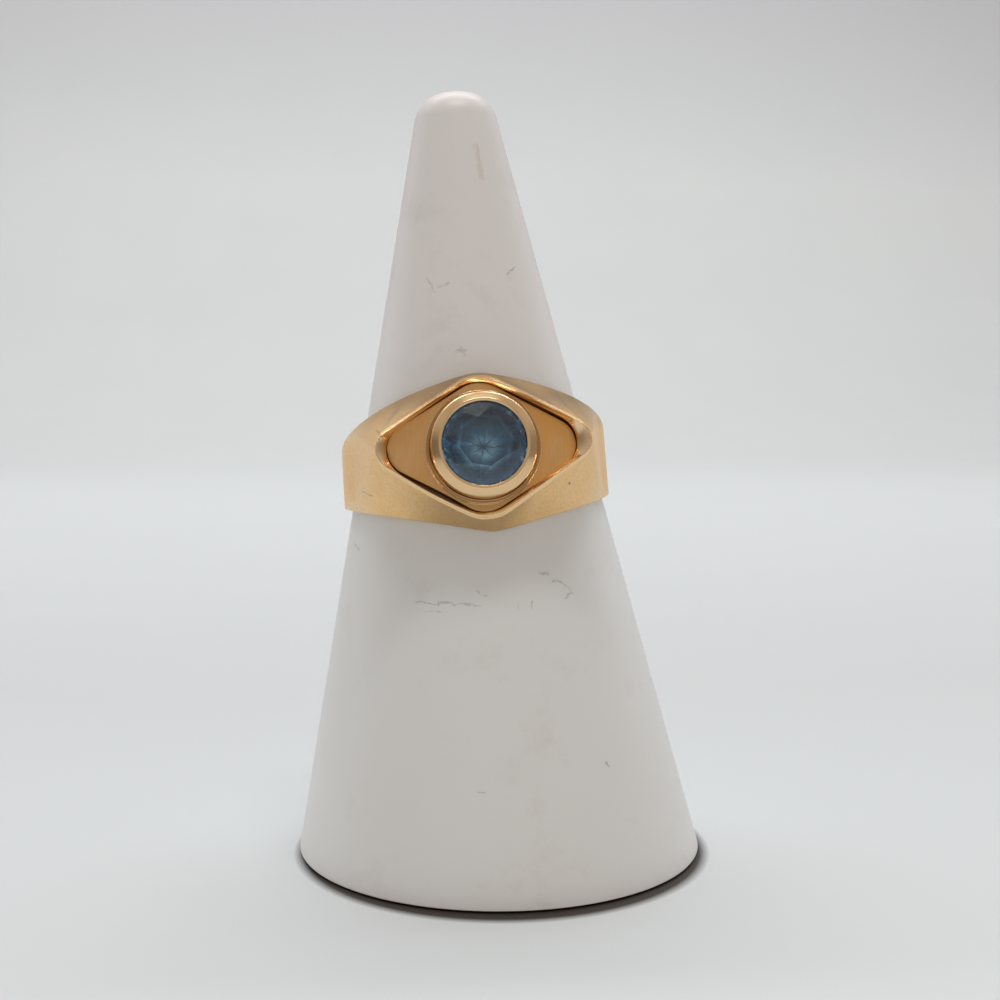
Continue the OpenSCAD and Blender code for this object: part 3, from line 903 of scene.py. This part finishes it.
# Reach is the distance from the stone's axis, as a share of its radius. The faces below the
# girdle, marked as its back, are mirrors that are seen through the clear crown. Their colours
# are painted light: lighter inside and darker outside, with a painted glow in the lower middle
spinel_blue, nodes, shader, place = new_material("spinel_blue")
reach = nodes.layer("reach")
back = nodes.layer("back")
tone = nodes.layer("tone")
haze = nodes.noise(place, 2.2, detail=5, roughness=0.7)
mottle = nodes.ramp(nodes.noise(place, 4.5, detail=3), 0.40, 0.60)
low_side = nodes.ramp(nodes.along(place, "Z"), stone_middle.z + 0.5 * mm, stone_middle.z - 0.9 * mm,
                      0.25, 1.0)
glow = nodes.times(nodes.ramp(reach, 0.42, 0.20), low_side, nodes.ramp(reach, 0.06, 0.24))
mirror = nodes.mix(nodes.ramp(reach, 0.42, 0.62), pavilion_inner, pavilion_outer)
mirror = nodes.mix(glow, mirror, pavilion_bright)
mirror = nodes.mix(nodes.ramp(haze, 0.40, 0.65, 0, 0.5), mirror, pavilion_haze)
mirror = nodes.mix(tone, worn_edge_shade, mirror)
# Painted light and shade in the crown's tint of what is seen through it: a dark ring round the table,
# then a light border
dark_ring = nodes.mix(mottle, ring_dark, ring_grey)
light_border = nodes.mix(mottle, border_grey, border_light)
crown = nodes.mix(nodes.ramp(reach, 0.57, 0.66), table_tint, dark_ring)
crown = nodes.mix(nodes.ramp(reach, 0.76, 0.86), crown, light_border)
nodes.put(shader.inputs["Base Color"], nodes.mix(back, crown, mirror))
nodes.put(shader.inputs["Metallic"], back)
nodes.put(shader.inputs["Transmission Weight"], nodes.math("SUBTRACT", 1, back))
nodes.put(shader.inputs["Roughness"], nodes.math(
    "ADD", nodes.ramp(haze, 0.45, 0.75, 0.0, 0.05), nodes.times(back, 0.22)))
# A painted glow stands in for light thrown about in the stone: its back faces glow in its lower middle,
# with painted glints at its sides
from_middle = nodes.math("ABSOLUTE", nodes.math("SUBTRACT", nodes.along(place, "X"), stone_middle.x))
sparkle = nodes.times(nodes.ramp(nodes.noise(place, 2.6, detail=3), 0.55, 0.62),
                      nodes.ramp(reach, 0.62, 0.85), nodes.ramp(from_middle, 0.9 * mm, 2.2 * mm))
lit = nodes.math("ADD", nodes.times(sparkle, 0.25),
                 nodes.times(glow, nodes.ramp(tone, 0.74, 1.0, 0.0, 0.12)))
nodes.put(shader.inputs["Emission Strength"], nodes.times(lit, back))
shader.inputs["Emission Color"].default_value = glow_blue
shader.inputs["IOR"].default_value = 1.72
shader.inputs["Specular IOR Level"].default_value = 0.3
nodes.put(shader.inputs["Normal"], nodes.bump(haze, 0.003))

spinel_mesh = grown("spinel", sector, repeat_round, {"Copies": 8, "Finish": spinel_blue})
shape = bmesh.new()
shape.from_mesh(spinel_mesh)
reach_layer = shape.verts.layers.float.new("reach")
back_layer = shape.faces.layers.float.new("back")
tone_layer = shape.faces.layers.float.new("tone")
# Faces that lie in one plane become one facet
bmesh.ops.dissolve_limit(shape, angle_limit=flat_angle, verts=shape.verts, edges=shape.edges)
# The edges below the girdle are a little worn, and each is a narrow facet of its own, painted dark as
# shade
below_girdle = girdle_low - 0.01
low_edges = [e for e in shape.edges if all(v.co.z < below_girdle for v in e.verts)]
worn_facets = bmesh.ops.bevel(shape, geom=low_edges, offset=edge_wear, segments=1,
                              affect="EDGES")["faces"]
for vert in shape.verts:
    vert[reach_layer] = sqrt(vert.co.x ** 2 + vert.co.y ** 2) / stone_r
for face in shape.faces:
    middle = face.calc_center_median()
    face[back_layer] = 1.0 if middle.z < below_girdle else 0.0
    # Neighbouring facets differ a little in brightness
    face[tone_layer] = 0.86 + 0.14 * sin(7.3 * middle.x + 4.1 * middle.y)
for face in worn_facets:
    face[tone_layer] = edge_shade_tone
shape.to_mesh(spinel_mesh)
shape.free()
spinel_mesh.transform(spinel_frame)
finish_piece("spinel_piece", spinel_mesh, spinel_blue, ["spinel"], smooth_to=0.5)

# Studio
# The floor and backdrop are one pale sheet that sweeps up behind the cone, lit by soft boxes.
# Its sizes and places are in metres.
floor_half = 0.6
floor_front = -1.0
back_start = 0.45
back_rise = 0.35
back_top = 1.2
paper_grey = (0.56, 0.59, 0.61, 1)
paper_light = (0.59, 0.62, 0.63, 1)
paper_high = (0.46, 0.47, 0.50, 1)
# Painted light: the paper is lighter in front of the cone
paper_front_light = (0.665, 0.703, 0.722, 1)
# Painted contact shadow at the cone's foot
contact_dark = (0.035, 0.027, 0.022, 1)

sweep_grey, nodes, shader, place = new_material("pale_paper")
shader.inputs["Roughness"].default_value = 0.6
paper = nodes.mix(nodes.noise(place, 0.02), paper_grey, paper_light)
paper = nodes.mix(nodes.ramp(nodes.along(place, "Z"), 0.15, 0.30), paper, paper_high)
# Painted light: the paper is lighter in front of the cone
paper = nodes.mix(nodes.ramp(nodes.along(place, "Y"), 0.05, -0.04), paper, paper_front_light)
# Painted shadow: hardly any light reaches the paper right in front of the foot, least of all on the
# right, so its colour is darkened there
from_foot = nodes.vector("DISTANCE", place, (0.1 * mm, -1.15 * mm, 0))
under_edge = nodes.ramp(from_foot, cone_foot_w / 2 + 0.5 * mm, cone_foot_w / 2 - 0.3 * mm)
nodes.put(shader.inputs["Base Color"], nodes.mix(under_edge, paper, contact_dark))

sweep_profile = [(floor_front, 0.0), (back_start, 0.0)]
sweep_profile += [(back_start + back_rise * sin(a), back_rise * (1 - cos(a)))
                  for a in np.linspace(0.1, pi / 2, 24)]
sweep_profile.append((back_start + back_rise, back_top))
sweep = bpy.data.meshes.new("sweep")
sweep.from_pydata([(side * floor_half, y, z) for y, z in sweep_profile for side in (-1, 1)], [],
                  [(2 * i, 2 * i + 1, 2 * i + 3, 2 * i + 2) for i in range(len(sweep_profile) - 1)])
sweep.materials.append(sweep_grey)
for face in sweep.polygons:
    face.use_smooth = True
sweep_piece = bpy.data.objects.new("floor", sweep)
bpy.context.scene.collection.objects.link(sweep_piece)

# The room is bright behind the ring and overhead, and dim on the photographer's side
room_front = (0.47, 0.42, 0.375, 1)
room_left = (0.20, 0.17, 0.15, 1)
room_right = (0.29, 0.26, 0.23, 1)
room_high_sides = (0.72, 0.70, 0.68, 1)
room_overhead = (0.95, 0.90, 0.82, 1)
room_behind = (0.84, 0.84, 0.85, 1)
room_behind_high = (0.52, 0.52, 0.53, 1)
world = bpy.data.worlds.new("soft_room")
bpy.context.scene.world = world
world.use_nodes = True
nodes = Nodes(world.node_tree)
way = nodes.make("ShaderNodeTexCoord").outputs["Generated"]
way_x, way_y, way_z = (nodes.along(way, axis) for axis in "XYZ")
above = nodes.ramp(way_z, 0.3, 0.8)
sides = nodes.mix(nodes.ramp(way_x, -0.5, 0.5), room_left, room_right)
sides = nodes.mix(above, sides, room_high_sides)
room = nodes.mix(nodes.ramp(nodes.math("ABSOLUTE", way_x), 0.6, 0.95), room_front, sides)
room = nodes.mix(nodes.ramp(way_z, 0.93, 0.985), room, room_overhead)
far = nodes.mix(above, room_behind, room_behind_high)
background = world.node_tree.nodes["Background"]
nodes.put(background.inputs["Color"], nodes.mix(nodes.ramp(way_y, 0.03, 0.22), room, far))
background.inputs["Strength"].default_value = 1.0
bpy.context.scene.view_settings.view_transform = "Standard"


def soft_box(name, place, target, width, height, watts):
    light = bpy.data.lights.new(name, "AREA")
    light.shape = "RECTANGLE"
    light.size, light.size_y = width, height
    light.energy = watts
    lamp = bpy.data.objects.new(name, light)
    lamp.location = place
    lamp.rotation_euler = (Vector(target) - Vector(place)).to_track_quat("-Z", "Y").to_euler()
    bpy.context.scene.collection.objects.link(lamp)


soft_box("top_box", (0.0, 0.26, 0.5), (0, 0, 0.02), 0.5, 0.2, 0.6)
soft_box("front_box", (0.0, -0.13, 0.45), (0, -0.06, 0.0), 0.24, 0.05, 0.55)
soft_box("backdrop_box", (0.0, 0.25, 0.6), (0, 0.8, 0.1), 1.0, 0.2, 3.6)

# The camera stands where the photographer's did, a little above the ring and to its left
camera_target = Vector((0.063, 0, 25.97)) * mm
camera_distance = 104.35 * mm
camera_height = radians(4.91)
camera_side = radians(-4.525)
to_camera = Vector((sin(camera_side) * cos(camera_height), -cos(camera_side) * cos(camera_height),
                    sin(camera_height)))
camera_data = bpy.data.cameras.new("camera")
camera_data.lens = 50.3
camera_data.sensor_width = 36
camera_data.clip_start = 0.005
camera = bpy.data.objects.new("camera", camera_data)
camera.location = camera_target + to_camera * camera_distance
camera.rotation_euler = (-to_camera).to_track_quat("-Z", "Y").to_euler()
bpy.context.scene.collection.objects.link(camera)
bpy.context.scene.camera = camera
